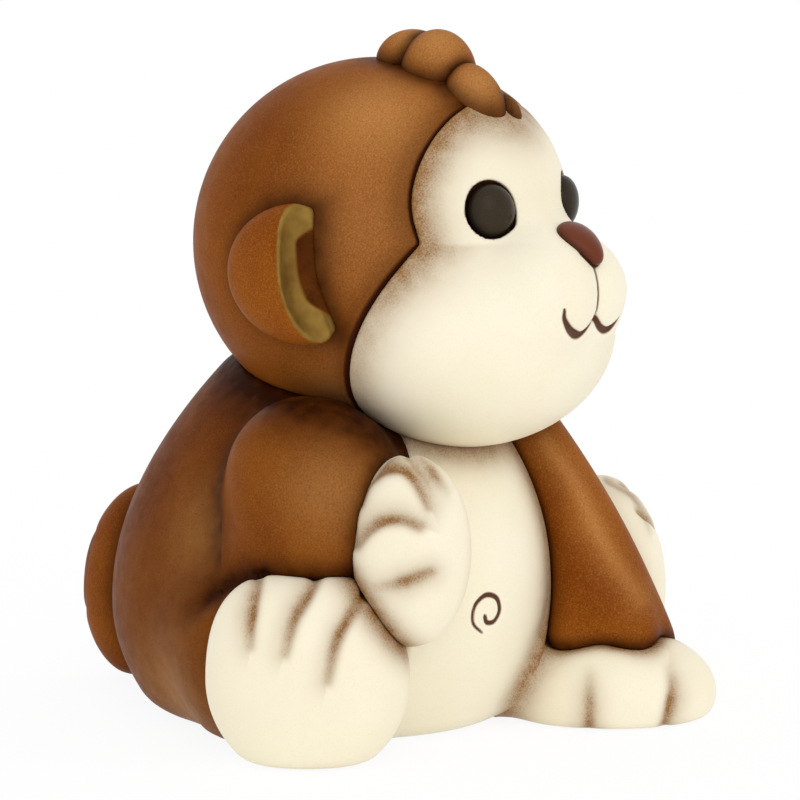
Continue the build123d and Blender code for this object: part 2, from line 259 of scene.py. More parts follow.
# Floor, surroundings and lamp; the floor's half-width is in metres
FLOOR_HALF = 4.0
FLOOR_DROP = 0.2
FLOOR_GREY = 0.9
FLOOR_GLOW = 0.15
FLOOR_WHITE = 0.9
SURROUNDINGS = (1.0, 0.985, 0.96, 1)
SURROUNDINGS_STRENGTH = 0.87
LAMP_ANGLE = 45.0
LAMP_ENERGY = 0.45
LAMP_TURN = 18.0
LAMP_FLAT = 0.86
LAMP_UP = 0.5


def about_x(degrees):
    """Matrix of a turn about X."""
    c, s = math.cos(math.radians(degrees)), math.sin(math.radians(degrees))
    return np.array([[1, 0, 0], [0, c, -s], [0, s, c]])


def about_y(degrees):
    """Matrix of a turn about Y."""
    c, s = math.cos(math.radians(degrees)), math.sin(math.radians(degrees))
    return np.array([[c, 0, s], [0, 1, 0], [-s, 0, c]])


def about_z(degrees):
    """Matrix of a turn about Z."""
    c, s = math.cos(math.radians(degrees)), math.sin(math.radians(degrees))
    return np.array([[c, -s, 0], [s, c, 0], [0, 0, 1]])


def round_field(local, half_axes):
    """Signed distance, nearly, to an ellipse or an ellipsoid at the origin."""
    unit = local / np.array(half_axes)
    reach = np.linalg.norm(unit, axis=1)
    slope = np.linalg.norm(unit / np.array(half_axes), axis=1)
    return reach * (reach - 1) / np.maximum(slope, TINY)


class Form:
    """Ellipsoid by its centre, its half-axes, and its turns about Z, its own X and its own Y, in degrees."""

    def __init__(self, centre, half_axes, turn=0.0, tilt=0.0, roll=0.0):
        self.centre = np.array(centre, float)
        self.half_axes = half_axes
        self.axes = about_z(turn) @ about_x(tilt) @ about_y(roll)

    def inside(self, points):
        """Points in the frame of the form."""
        return (points - self.centre) @ self.axes

    def __call__(self, points):
        return round_field(self.inside(points), self.half_axes)


def join(a, b, width):
    """Union of two fields, with the crease between them filled over a width."""
    overlap = np.maximum(width - np.abs(a - b), 0)
    return np.minimum(a, b) - overlap**2 / (4 * width)


def cut(a, b, width):
    """What two fields have in common, with the edge between them rounded over a width."""
    return -join(-a, -b, width)


def ramp(value, start, end):
    """Smooth step from 0 at start to 1 at end."""
    share = np.clip((value - start) / (end - start), 0, 1)
    return share * share * (3 - 2 * share)


def near(distance, reach):
    """Fall-off of a sprayed colour: 1 at the line it follows, faint past its reach."""
    return np.exp(-((distance / reach) ** 2))


# Forms of the head, in its own frame, which has its origin in the middle of the skull
SKULL = Form((0, 0, 0), (36, 35.5, 35.5))
FOREHEAD = Form((0, -12.5, 8.5), (25.5, 25.5, 24))
CHEEKS = Form((0, -21.5, -16), (32, 26, 22))
SNOUT = Form((0, -36, -3), (11, 12, 9))
LIPS = [Form((side * 5.5, -41.5, -7.5), (10, 10, 10)) for side in SIDES.values()]
NOSE = Form(NOSE_PLACE, NOSE_HALF, tilt=NOSE_TILT)
LOCKS = {
    "back": Form((0, -8.35, 34.5), (6, 7.8, 6.6)),
    "top": Form((-1, -14.7, 32.3), (7.5, 7.5, 9)),
    "front": Form((-2.5, -24.3, 25.3), (6.5, 6.3, 10.2), tilt=-17),
    "side": Form((1.8, -26.8, 23.4), (4.4, 4.8, 6.2)),
}

# Forms of the body
ARM_RIGHT = Form((-31.3, -25, 45.5), (12, 17, 20.5))
SHOULDER_RIGHT = Form((-26.5, -23.5, 53), (14, 16.5, 12))
HAND_RIGHT = Form((-25.1, -46, 40), (11, 11.5, 18))
LEG_RIGHT = Form((-28, -16.5, 17), (17.5, 19, 19), turn=45)
FOOT_RIGHT = Form((-38.4, -32.4, 16), (13, 19, 19.6), turn=45)
TOES_RIGHT = [Form((-43.6, -25.6, 25), (7.4, 7.4, 8.5)), Form((-33.6, -37.1, 27), (6.5, 6.5, 7.5))]
LEG_LEFT = Form((30, -14, 17), (19, 18, 18), turn=-26)
FOOT_LEFT = Form((51.4, -26, 21), (12, 17, 22), turn=-26)
HAND_LEFT = Form((31.5, -45.5, 5), (21, 16, 12.5), turn=-46)
TAIL = Form((-7.6, 45.8, 20.4), (12, 13.0, 20.4), tilt=9)


def in_head(points):
    """Points in the frame of the head."""
    return points @ about_z(HEAD_TURN) + HEAD_OFFSET


def out_of_head(local):
    """Points of the head's frame in the frame of the figure."""
    return (local - HEAD_OFFSET) @ about_z(HEAD_TURN).T


def of_head(shape):
    """Field of a form that is given in the frame of the head."""
    return lambda points: shape(in_head(points))


def head_shape(local):
    """Field of the whole head, with its forms run together, in the frame of the head."""
    field = join(SKULL(local), FOREHEAD(local), FOREHEAD_BLEND)
    field = join(field, CHEEKS(local), CHEEK_BLEND)
    field = join(field, SNOUT(local), SNOUT_BLEND)
    lips = join(LIPS[0](local), LIPS[1](local), PHILTRUM_BLEND)
    return join(field, lips, LIP_BLEND)


def face_outline(local):
    """Field that is negative in the face and zero along its seam with the skull."""
    height = local[:, 2]
    rise = np.clip(height - TEMPLE_UP, -TEMPLE_REACH, TEMPLE_REACH)
    temples = -TEMPLE_FORWARD - np.where(rise < 0, TEMPLE_BOW, TEMPLE_BOW_ABOVE) * rise**2
    share = np.clip((height + JAW_DOWN) / CHEEK_RISE, 0, CHEEK_RISE_LIMIT)
    cheeks = -JAW_FORWARD - CHEEK_FORWARD * share**CHEEK_BOW
    return local[:, 1] - cut(temples, cheeks, NOTCH)


def eye_forms(half_axes, shift=0.0):
    """Both eyes, or their sockets, which lie a little out from them."""
    forms = []
    for side in SIDES.values():
        centre = (side * (EYE_APART + shift), -EYE_FORWARD, EYE_UP)
        forms.append(Form(centre, half_axes, turn=side * EYE_OUTWARD, roll=side * EYE_ROLL))
    return forms


EYES = dict(zip(SIDES, eye_forms(EYE_HALF)))
SOCKETS = eye_forms(SOCKET_HALF, SOCKET_SHIFT)


def socket_shape(local):
    """Field of both eye sockets, each with a corner towards the nose."""
    field = np.minimum(SOCKETS[0](local), SOCKETS[1](local))
    inward, forward, down = SOCKET_CORNER_PLACE
    for side in SIDES.values():
        centre = (side * (EYE_APART + inward), forward - EYE_FORWARD, EYE_UP + down)
        corner = Form(centre, (SOCKET_CORNER,) * 3)
        field = join(field, corner(local), SOCKET_CORNER_BLEND)
    return field


def nose_shape(local):
    """Field of the nose."""
    inside = NOSE.inside(local)
    inside[:, 0] /= np.clip(1 + NOSE_NARROWING * inside[:, 1], *NOSE_WIDTHS)
    return round_field(inside, NOSE_HALF)


def ear_front(local, side):
    """Field that is negative before the wall of an ear that faces forwards."""
    out = side * local[:, 0]
    height = local[:, 2] - EAR_FRONT_UP
    bow = EAR_FRONT_BOW * np.minimum(height, 0) ** 2 - EAR_FRONT_RISE * np.maximum(height, 0)
    scoop = EAR_SCOOP * np.clip(1 - ((out - EAR_SCOOP_OUT) / EAR_SCOOP_HALF) ** 2, 0, None)
    return local[:, 1] + EAR_FRONT + bow + EAR_FRONT_LEAN * (EAR_RIM_OUT - out) - scoop


def ear_shape(side):
    """Field function of one ear, in the frame of the head."""
    lobe = Form((side * EAR_PLACE[0], EAR_PLACE[1], EAR_PLACE[2]), EAR_HALF)
    return lambda local: cut(lobe(local), -ear_front(local, side), EAR_EDGE)


def torso_share(height):
    """How wide the torso is at a height before and behind its middle, as shares of its greatest widths."""
    before = np.sqrt(np.clip(1 - ((height - TORSO_FRONT_HEIGHT) / TORSO_FRONT_Z) ** 2, TORSO_LEAST, 1))
    rise = height - TORSO_BACK_HEIGHT
    reach = np.where(rise > 0, TORSO_BACK_ABOVE, TORSO_BACK_BELOW)
    behind = np.cos(np.pi / 2 * np.clip(rise / reach, -TORSO_BACK_END, TORSO_BACK_END))
    return before, behind


def torso_shape(points):
    """Field of the torso."""
    height = points[:, 2]
    before, behind = torso_share(height)
    share = (before + behind) / 2
    local = np.stack([points[:, 0], points[:, 1] - TORSO_Y * (behind - before) / 2], 1)
    half_axes = np.stack([TORSO_X * share, TORSO_Y * share], 1)
    above = sum(torso_share(height + LEAN_STEP))
    below = sum(torso_share(height - LEAN_STEP))
    lean = TORSO_Y * (above - below) / (4 * LEAN_STEP)
    side = round_field(local, half_axes) / np.sqrt(1 + lean**2)
    return cut(side, height - TORSO_TOP, TORSO_EDGE)


def belly_outline(points):
    """Field of the belly's outline on the torso."""
    seen = round_field(points[:, (0, 2)] - np.array(BELLY_MIDDLE), BELLY_HALF)
    return cut(seen, points[:, 1] + BELLY_BACK, BELLY_EDGE)


def arm_right_shape(points):
    """Field of the right arm, which is full up to the shoulder."""
    return join(ARM_RIGHT(points), SHOULDER_RIGHT(points), SHOULDER_BLEND)


def foot_right_shape(points):
    """Field of the right foot, with its outer toes."""
    field = FOOT_RIGHT(points)
    for toe in TOES_RIGHT:
        field = join(field, toe(points), TOE_BLEND)
    return field


def sleeve_shape(points):
    """Field of the left arm, whose lobes grow towards the hem."""
    height = np.clip(points[:, 2], SLEEVE_HEIGHTS[0] - SLEEVE_SPARE, SLEEVE_HEIGHTS[2] + SLEEVE_SPARE)

    def at_height(sizes):
        return np.polyval(np.polyfit(SLEEVE_HEIGHTS, sizes, 2), height)

    across = points[:, 0] - at_height(SLEEVE_LEFT)
    forward = points[:, 1] + at_height(SLEEVE_FORWARD)
    angle = np.arctan2(forward, across) - math.radians(HEM_LOBE_ANGLE)
    rise = HEM_LOBE_RISE * (1 - ramp(height, SLEEVE_HEIGHTS[0], HEM_LOBE_TOP))
    lobes = 1 + rise * np.cos(HEM_LOBES * angle)
    half_x = at_height(SLEEVE_HALF_X)
    half_y = at_height(SLEEVE_HALF_Y)
    local = np.stack([across / (half_x * lobes), forward / (half_y * lobes)], 1)
    side = round_field(local, (1, 1)) * half_x * SLEEVE_SLOPE
    hem = HEM_LINE - HEM_DROP * np.cos(HEM_LOBES * angle)
    return cut(cut(side, points[:, 2] - SLEEVE_TOP, SLEEVE_EDGE), hem - points[:, 2], HEM_EDGE)


# Torso, right arm and legs run together in one surface; the fills are the widths of the creases to the torso
BODY_FILLS = {"arm_right": 5.0, "leg_right": 12.0, "leg_left": 12.0}
BODY_FORMS = {
    "torso": torso_shape,
    "arm_right": arm_right_shape,
    "leg_right": LEG_RIGHT,
    "leg_left": LEG_LEFT,
}


def body_shape(points):
    """Field of the torso with the limbs that run into it."""
    field = torso_shape(points)
    for name, width in BODY_FILLS.items():
        field = join(field, BODY_FORMS[name](points), width)
    return field


FORMS = {
    "head": of_head(head_shape),
    "body": body_shape,
    **BODY_FORMS,
    "hand_right": HAND_RIGHT,
    "foot_right": foot_right_shape,
    "sleeve": sleeve_shape,
    "hand_left": HAND_LEFT,
    "foot_left": FOOT_LEFT,
    "tail": TAIL,
    "nose": of_head(nose_shape),
}
for lock_name, lock_form in LOCKS.items():
    FORMS["lock_" + lock_name] = of_head(lock_form)
for side_name, side_sign in SIDES.items():
    FORMS["ear_" + side_name] = of_head(ear_shape(side_sign))

# Which forms meet, and over what width the crease is filled. What is laid on the head names the head second
MEETINGS = {
    ("head", "body"): 1.5,
    ("head", "sleeve"): 1.5,
    ("head", "hand_right"): 0.8,
    ("body", "sleeve"): 2.5,
    ("body", "hand_right"): 0.8,
    ("body", "hand_left"): 6.0,
    ("body", "foot_right"): 0.8,
    ("body", "foot_left"): 0.8,
    ("body", "tail"): 2.0,
    ("hand_right", "foot_right"): 1.6,
    ("sleeve", "hand_left"): 0.6,
    ("sleeve", "foot_left"): 0.8,
    ("hand_left", "foot_left"): 1.0,
    ("ear_right", "head"): EAR_BLEND,
    ("ear_left", "head"): EAR_BLEND,
    ("nose", "head"): 0.5,
    ("lock_back", "head"): 0.8,
    ("lock_top", "head"): 0.8,
    ("lock_front", "head"): 0.8,
    ("lock_side", "head"): 0.8,
    ("lock_back", "lock_top"): 0.8,
    ("lock_top", "lock_front"): 0.8,
    ("lock_front", "lock_side"): 0.8,
    ("lock_top", "lock_side"): 0.8,
}


def neighbours(name):
    """Forms that a form meets, with the width of each crease. What is laid on the head leaves it whole."""
    found = {}
    for (first, second), width in MEETINGS.items():
        if first == name:
            found[second] = width
        elif second == name and name != "head":
            found[first] = width
    return found


def run_under(field, wall):
    """Field of a piece that runs on a little way past a wall, below its neighbour's surface."""
    return cut(field + FILLED_SINK * ramp(wall, 0, FILLED_LAP), wall - FILLED_LAP, FILLED_EDGE)


def parted(name, points, edge=SEAM_EDGE):
    """Field of a form, run into its neighbours at the creases and parted from them at the seams.

    Where a crease is well filled, each piece runs on a little under its neighbour's surface.
    """
    if name in BODY_FORMS:
        field = parted("body", points, edge)
        for other in BODY_FORMS:
            if other != name:
                field = run_under(field, (BODY_FORMS[name](points) - BODY_FORMS[other](points)) / 2)
        return field
    own = FORMS[name](points)
    met = neighbours(name)
    gaps = {other: FORMS[other](points) for other in met}
    field = own.copy()
    lower = own.copy()
    for other, width in met.items():
        field -= np.maximum(width - np.abs(own - gaps[other]), 0) ** 2 / (4 * width)
        if width > FILLED_SEAM:
            lower = np.minimum(lower, gaps[other])
    field -= own - lower
    for other, width in met.items():
        wall = (own - gaps[other]) / 2
        if width > FILLED_SEAM:
            field = run_under(field, wall)
        else:
            field = cut(field, wall + SEAM, edge)
    return field


def on_floor(field, points, edge=FLOOR_EDGE):
    """Field with the flat base that the piece stands on."""
    return cut(field, -points[:, 2], edge)


def head_shell_shape(points):
    """Skull with a low lip along the face."""
    local = in_head(points)
    outline = face_outline(local)
    lip = HOOD_LIP * near(outline, HOOD_LIP_WIDTH) * (1 - ramp(local[:, 2], *HOOD_LIP_END))
    return cut(parted("head", points) - lip, SEAM - outline, HOOD_EDGE)


def face_shape(points):
    """Face with its eye sockets."""
    local = in_head(points)
    field = cut(parted("head", points), face_outline(local) + SEAM, FACE_EDGE)
    return cut(field, -socket_shape(local), SOCKET_EDGE)


def body_shell_shape(points):
    """Torso without the belly, with the vent in its base."""
    field = cut(parted("torso", points), SEAM - belly_outline(points), SEAM_EDGE)
    field = on_floor(field, points, BASE_EDGE)
    vent = np.hypot(points[:, 0], points[:, 1] - VENT_BACK) - VENT_RADIUS
    return cut(field, -np.maximum(vent, points[:, 2] - VENT_DEPTH), SEAM_EDGE)


def belly_shape(points):
    """Belly, parted from the rest of the torso."""
    field = cut(parted("torso", points), belly_outline(points) + SEAM, SEAM_EDGE)
    return on_floor(field, points, BASE_EDGE)


def plain_shape(name, edge=SEAM_EDGE):
    """Field function of a form that is only parted from its neighbours and stood on the floor."""
    return lambda points: on_floor(parted(name, points, edge), points)


def laid_shape(name):
    """Field function of a form that is laid on the head."""
    return lambda points: parted(name, points, LAID_EDGE)


def surface(field, box, voxel):
    """Closed quad surface where a field is zero: its points, its quads and its normals.

    Each grid cell that the surface crosses has one point, which is then drawn onto the surface.
    """
    low, high = box
    counts = np.ceil((high - low) / voxel).astype(int) + 1
    steps = [low[axis] + voxel * np.arange(counts[axis]) for axis in range(3)]
    plane = np.stack(np.meshgrid(steps[1], steps[2], indexing="ij"), -1).reshape(-1, 2)
    values = np.empty(counts)
    for i, x in enumerate(steps[0]):
        slab = np.column_stack([np.full(len(plane), x), plane])
        values[i] = field(slab).reshape(counts[1:])
    for axis in range(3):
        border = np.moveaxis(values, axis, 0)
        border[0] = np.maximum(border[0], voxel / 4)
        border[-1] = np.maximum(border[-1], voxel / 4)
    inside = values < 0

    corners = [np.array([i, j, k]) for i in (0, 1) for j in (0, 1) for k in (0, 1)]
    filled = np.zeros(counts - 1, int)
    for corner in corners:
        filled += inside[tuple(slice(c, n - 1 + c) for c, n in zip(corner, counts))]
    cells = np.argwhere((filled > 0) & (filled < 8))
    index = np.full(filled.shape, -1)
    index[tuple(cells.T)] = np.arange(len(cells))
    total = np.zeros((len(cells), 3))
    crossings = np.zeros(len(cells))
    for start in corners:
        for axis in range(3):
            if start[axis]:
                continue
            end = start + np.eye(3, dtype=int)[axis]
            first = values[tuple((cells + start).T)]
            second = values[tuple((cells + end).T)]
            crossed = (first < 0) != (second < 0)
            share = np.where(crossed, first / np.where(crossed, first - second, 1), 0)
            place = cells + start + share[:, None] * (end - start)
            total[crossed] += place[crossed]
            crossings += crossed
    points = low + voxel * total / crossings[:, None]

    quads = []
    for axis in range(3):
        right = np.eye(3, dtype=int)[(axis + 1) % 3]
        up = np.eye(3, dtype=int)[(axis + 2) % 3]
        first = np.moveaxis(np.moveaxis(inside, axis, 0)[:-1], 0, axis)
        second = np.moveaxis(np.moveaxis(inside, axis, 0)[1:], 0, axis)
        edges = np.argwhere(first != second)
        outward = first[tuple(edges.T)]
        ring = [index[tuple((edges + step).T)] for step in (-right - up, -up, 0 * up, -right)]
        ring = np.stack(ring, 1)
        quads.append(np.where(outward[:, None], ring, ring[:, ::-1]))
    quads = np.concatenate(quads)

    for _ in range(DRAW_ROUNDS):
        value = field(points)
        slope = gradient(field, points, voxel / 20)
        move = value[:, None] * slope / np.maximum((slope**2).sum(1), LEAST_SLOPE)[:, None]
        length = np.linalg.norm(move, axis=1)
        points = points - move * np.minimum(1, voxel / 2 / np.maximum(length, TINY))[:, None]
    slope = gradient(field, points, voxel / 4)
    normals = slope / np.maximum(np.linalg.norm(slope, axis=1), TINY)[:, None]
    return points, quads, normals


def gradient(field, points, step):
    """Slope of a field."""
    columns = []
    for axis in range(3):
        offset = step * np.eye(3)[axis]
        columns.append((field(points + offset) - field(points - offset)) / (2 * step))
    return np.stack(columns, 1)


def along_surface(outline, points, normals):
    """Distance to the zero line of an outline field, measured along the surface."""
    slope = gradient(outline, points, OUTLINE_STEP)
    slope -= (slope * normals).sum(1)[:, None] * normals
    return outline(points) / np.maximum(np.linalg.norm(slope, axis=1), OUTLINE_SLOPE)


class Stroke:
    """Line on a piece as it is seen from an azimuth, through points given as (across, height).

    It is engraved to a depth over a width, and coloured with ink, either sprayed over a reach or brushed with
    a clear edge. A spray that leans lies to the left of the stroke's way (1) or to its right (-1). A swell
    lifts the surface on the right.
    """

    def __init__(self, points, azimuth=CAMERA_AZIMUTH, width=0.8, depth=0.5, spray=0.0, ink=0.8, lean=0,
                 swell=0.0, brush=0.0, wrap=-0.2, taper=(0.35, 1.0, 0.25)):
        self.line = smooth_line(np.array(points, float))
        self.azimuth = math.radians(azimuth)
        self.width = width
        self.depth = depth
        self.spray = spray
        self.ink = ink
        self.lean = lean
        self.swell = swell
        self.brush = brush
        self.wrap = wrap
        self.taper = taper

    def measure(self, points, normals):
        """Signed distance to the line, its strength there, and how much the surface faces the stroke."""
        right = np.array([math.cos(self.azimuth), math.sin(self.azimuth), 0])
        toward = np.array([math.sin(self.azimuth), -math.cos(self.azimuth), 0])
        flat = np.stack([points @ right, points[:, 2]], 1)
        facing = ramp(normals @ toward, self.wrap, self.wrap + FACING_BAND)
        best = np.full(len(points), FAR)
        signed = np.full(len(points), FAR)
        share = np.zeros(len(points))
        lengths = np.linalg.norm(np.diff(self.line, axis=0), axis=1)
        before = np.concatenate([[0], np.cumsum(lengths)])
        for i, (start, end) in enumerate(zip(self.line[:-1], self.line[1:])):
            span = end - start
            offset = flat - start
            t = np.clip(offset @ span / (span @ span), 0, 1)
            apart = offset - t[:, None] * span
            distance = np.linalg.norm(apart, axis=1)
            closer = distance < best
            side = np.sign(span[0] * offset[:, 1] - span[1] * offset[:, 0])
            best = np.where(closer, distance, best)
            signed = np.where(closer, distance * side, signed)
            share = np.where(closer, (before[i] + t * lengths[i]) / before[-1], share)
        strength = np.interp(share, (0, 0.5, 1), self.taper)
        return signed, strength, facing

    def cloud(self, signed, strength):
        """Spray of the stroke: a dark core with a soft side, or two."""
        soft = np.where(signed * self.lean < 0, CRISP_SIDE, 1.0) * self.spray
        core = SPRAY_CORE * near(signed, CRISP_SIDE * self.spray)
        return self.ink * strength * (core + (1 - SPRAY_CORE) * near(signed, soft))


def smooth_line(points, per_span=8):
    """Points of a smooth curve through a few points."""
    padded = np.concatenate([[2 * points[0] - points[1]], points, [2 * points[-1] - points[-2]]])
    t = np.linspace(0, 1, per_span, endpoint=False)[:, None]
    spans = []
    for a, b, c, d in zip(padded, padded[1:], padded[2:], padded[3:]):
        bend = a - 2.5 * b + 2 * c - d / 2
        twist = 1.5 * (b - c) + (d - a) / 2
        spans.append(b + t * (c - a) / 2 + t**2 * bend + t**3 * twist)
    return np.concatenate(spans + [points[-1:]])


def engrave(points, normals, strokes):
    """Moves points into the grooves of strokes. Returns them, and the spray and the brushed line on each."""
    spray = np.zeros(len(points))
    line = np.zeros(len(points))
    moved = points.copy()
    for stroke in strokes:
        signed, strength, facing = stroke.measure(points, normals)
        groove = stroke.depth * strength * near(signed, stroke.width)
        beside = signed + SWELL_OFFSET * stroke.width
        swell = stroke.swell * strength * near(beside, SWELL_WIDTH * stroke.width)
        moved += normals * ((swell - groove) * facing)[:, None]
        if stroke.spray:
            spray = 1 - (1 - spray) * (1 - stroke.cloud(signed, strength) * facing)
        if stroke.brush:
            line = np.maximum(line, line_value(np.abs(signed) - stroke.brush * strength) * facing)
    return moved, spray, line


def line_value(distance):
    """Painted value of a brushed line, from the distance to its edge, which is negative in the line."""
    return np.clip(0.5 - distance / LINE_BAND, 0, 1)


def sprayed(points, sources):
    """Dark spray along the creases with neighbours, partly airbrushed brown and partly painted shade, from
    (form's name, strength, reach).
    """
    clear = np.ones(len(points))
    for name, strength, reach in sources:
        distance = np.maximum(FORMS[name](points), 0)
        clear *= 1 - strength * near(distance, reach)
    return 1 - clear


def pale_and_highlight_spots(points, spots):
    """Paler places painted on the glaze, partly a lighter tone and partly painted highlights, from (centre,
    reach, strength).
    """
    clear = np.ones(len(points))
    for centre, reach, strength in spots:
        distance = np.linalg.norm(points - np.array(centre), axis=1)
        clear *= 1 - strength * near(distance, reach)
    return 1 - clear


def spiral(centre, radius, start, turn, count=9):
    """Points of a spiral that winds in from its first radius."""
    points = []
    for t in np.linspace(0, 1, count):
        angle = math.radians(start + turn * t)
        reach = radius * (1 - SPIRAL_CLOSING * t**SPIRAL_BOW)
        points.append((centre[0] + reach * math.cos(angle), centre[1] + reach * math.sin(angle)))
    return points


# Half of the mouth, from its middle to its corner, and the strokes on the rest of the figure
MOUTH = ((0.2, -11.6), (2.4, -13.7), (5.0, -14.5), (8.0, -13.3), (10.2, -11.0), (10.7, -9.0))
# Sprays in the creases and grooves below are partly airbrushed brown and partly painted shade
THIGH_CREASE = Stroke([(-12.0, 34.4), (-16.5, 33.2), (-20.5, 30.8), (-25.7, 25.8), (-28.2, 22.7)],
                      width=1.7, depth=1.3, spray=4.0, ink=1.0, lean=-1, wrap=-0.7, taper=(1.0, 1.0, 0.2))
# Painted shadow of the head on the arm and the torso
HEAD_SHADE = Stroke([(-18.0, 67.5), (-13.3, 66.5), (-3.7, 65.5), (4.3, 63.5), (13.1, 57.5)],
                    depth=0.0, spray=6.5, ink=0.85, wrap=-0.9, taper=(1.0, 1.0, 0.8))
HAND_RIGHT_STROKES = [
    Stroke([(6.2, 49.6), (7.4, 52.6), (9.2, 54.5), (11.2, 55.7), (14.1, 55.9), (16.5, 54.0), (18.9, 49.8)],
           width=0.9, depth=0.8, spray=2.8, ink=1.0, lean=1, swell=0.35, taper=(0.6, 1.0, 0.6)),
    Stroke([(5.6, 41.8), (8.0, 45.0), (10.8, 46.9), (14.1, 47.3), (17.3, 46.2)],
           width=0.9, depth=0.8, spray=2.8, ink=1.0, lean=1, swell=0.35, taper=(0.6, 1.0, 0.7)),
    Stroke([(9.6, 34.7), (13.3, 35.7), (16.1, 36.8), (19.2, 37.8)],
           width=1.0, depth=0.6, spray=2.8, ink=1.0, swell=0.3, taper=(0.3, 1.0, 0.7)),
    Stroke([(13.6, 59.0), (16.0, 57.2), (18.4, 54.5), (20.0, 51.0)],
           width=0.8, depth=0.9, spray=1.0, ink=0.5, wrap=-0.7, taper=(1.0, 0.8, 0.1)),
    Stroke([(17.0, 58.0), (19.6, 55.7), (22.4, 52.0)], width=1.4, depth=0.3, spray=2.2, ink=0.9, lean=-1,
           wrap=-0.7),
]
HAND_LEFT_STROKES = [
    Stroke([(50.3, 13.0), (50.2, 9.9), (50.0, 1.0)], width=1.8, depth=0.15, spray=3.0, ink=0.9,
           taper=(0.0, 0.8, 1.0)),
    Stroke([(65.9, 11.5), (66.2, 7.5), (64.9, 1.0)], width=1.0, depth=0.6, spray=3.0, ink=1.0,
           lean=1, taper=(0.3, 1.0, 0.9)),
]
FOOT_LEFT_STROKES = [
    Stroke([(55.0, 42.8), (59.9, 40.5), (62.3, 37.5), (63.8, 33.0)], width=0.8, depth=0.7, spray=1.6, ink=0.7,
           lean=-1, taper=(0.8, 1.0, 0.3)),
]
NAVEL = [
    Stroke(spiral((-3.0, 25.0), 3.9, 253, -400), azimuth=0, width=0.5, depth=0.35, brush=0.52,
           taper=(0.5, 1.0, 0.9)),
]
TAIL_CURL = [
    Stroke(spiral((7.6, 21.5), 11.5, -60, 560, count=15), azimuth=180, width=0.9, depth=0.5, spray=2.2,
           ink=0.9, wrap=0.35, taper=(0.6, 1.0, 0.8)),
]
# Painted highlight along the fold of the sleeve
SLEEVE_HIGHLIGHT = Stroke([(42.0, 54.0), (47.6, 46.3), (52.9, 35.3), (60.4, 23.7)], depth=0.0, spray=4.0, ink=0.7,
                      taper=(0.7, 1.0, 0.6))


def toe_strokes(side, azimuth, centre, wrap):
    """Grooves between the toes of one foot, measured from the middle of its sole, each with a dark spray that
    is partly airbrushed brown and partly painted shade.
    """
    right = math.cos(math.radians(azimuth)), math.sin(math.radians(azimuth))
    middle = centre[0] * right[0] + centre[1] * right[1]
    grooves = (
        ((-9.0, 19.0), (-10.0, 14.8), (-10.5, 11.6), (-10.7, 8.0)),
        ((2.8, 21.5), (0.0, 16.9), (-2.4, 12.9), (-4.2, 7.0)),
        ((11.4, 17.6), (7.4, 12.7), (5.3, 8.6), (3.7, 2.0)),
    )
    strokes = []
    for groove in grooves:
        points = [(middle - side * across, centre[2] + up) for across, up in groove]
        strokes.append(Stroke(points, azimuth=azimuth, width=1.1, depth=1.0, spray=2.8, ink=1.0, lean=side,
                              wrap=wrap, taper=(0.7, 1.0, 0.5)))
    return strokes


FOOT_STROKES = {
    "right": toe_strokes(-1, -45, FOOT_RIGHT.centre, -0.7),
    "left": toe_strokes(1, 64, FOOT_LEFT.centre, 0.25) + FOOT_LEFT_STROKES,
}


def paint_head(points, normals):
    """Dark spray along the face, round the ears and the hair, and at the neck, partly airbrushed brown and
    partly painted shade; darker towards the back, partly painted shade; pale spots that are partly painted
    highlights.
    """
    local = in_head(points)
    outline = along_surface(of_head(face_outline), points, normals)
    shade = sprayed(points, [
        ("ear_right", 0.75, 3.4), ("ear_left", 0.75, 3.4), ("torso", 0.35, 1.6), ("arm_right", 0.35, 1.6),
        ("lock_back", 0.6, 3.0), ("lock_top", 0.6, 3.0), ("lock_front", 0.6, 3.0)])
    strength, reach = HOOD_SPRAY
    clear = (1 - strength * near(outline, reach)) * (1 - BACK_SHADE * ramp(local[:, 1], *BACK_FADE))
    shade = 1 - (1 - shade) * clear
    pale = pale_and_highlight_spots(local, HEAD_PALE_AND_HIGHLIGHT_SPOTS)
    return points, {"shade": shade, "line": line_value(outline - HOOD_LINE), "pale": pale}


def paint_face(points, normals):
    """Tan spray along the edge, spray under the chin and beside the locks that is partly painted shade, dark
    sockets, a dark line under the nose that is partly painted shadow, and the brushed mouth.
    """
    local = in_head(points)
    outline = along_surface(of_head(face_outline), points, normals)
    shade = sprayed(points, [("torso", 0.5, 3.0), ("lock_front", 0.5, 4.0), ("lock_side", 0.4, 4.0)])
    edge = sum(strength * near(outline, reach) for strength, reach in FACE_SPRAYS)
    edge *= FACE_SPRAY_LOW + (1 - FACE_SPRAY_LOW) * ramp(local[:, 2], *FACE_SPRAY_FADE)
    shade = 1 - (1 - shade) * (1 - edge)
    strokes = []
    for side in SIDES.values():
        half = [(side * across, up) for across, up in MOUTH]
        strokes.append(Stroke(half, azimuth=0, width=0.75, depth=0.8, brush=0.75, wrap=-0.6,
                              taper=(0.7, 1.1, 0.35)))
    strokes.append(Stroke([(0, -1.0), (0, -6), (0, -12)], azimuth=0, width=0.5, depth=0.5, brush=0.35,
                          taper=(1.0, 0.8, 1.0)))
    front = ramp(-local[:, 1], *MUZZLE_FADE)
    moved, _, line = engrave(local, normals @ about_z(HEAD_TURN), strokes)
    moved = local + (moved - local) * front[:, None]
    line = line * front
    # Dark line round the underside of the nose: partly brushed paint, partly painted shadow of the nose
    below_nose = 1 - ramp(local[:, 2] - NOSE_PLACE[2], *NOSE_LINE_FADE)
    line = np.maximum(line, line_value(nose_shape(local) - NOSE_LINE) * below_nose)
    line = np.maximum(line, line_value(socket_shape(local) - SOCKET_LINE))
    line = np.maximum(line, line_value(np.abs(outline) - FACE_LINE))
    return out_of_head(moved), {"shade": shade, "line": line}


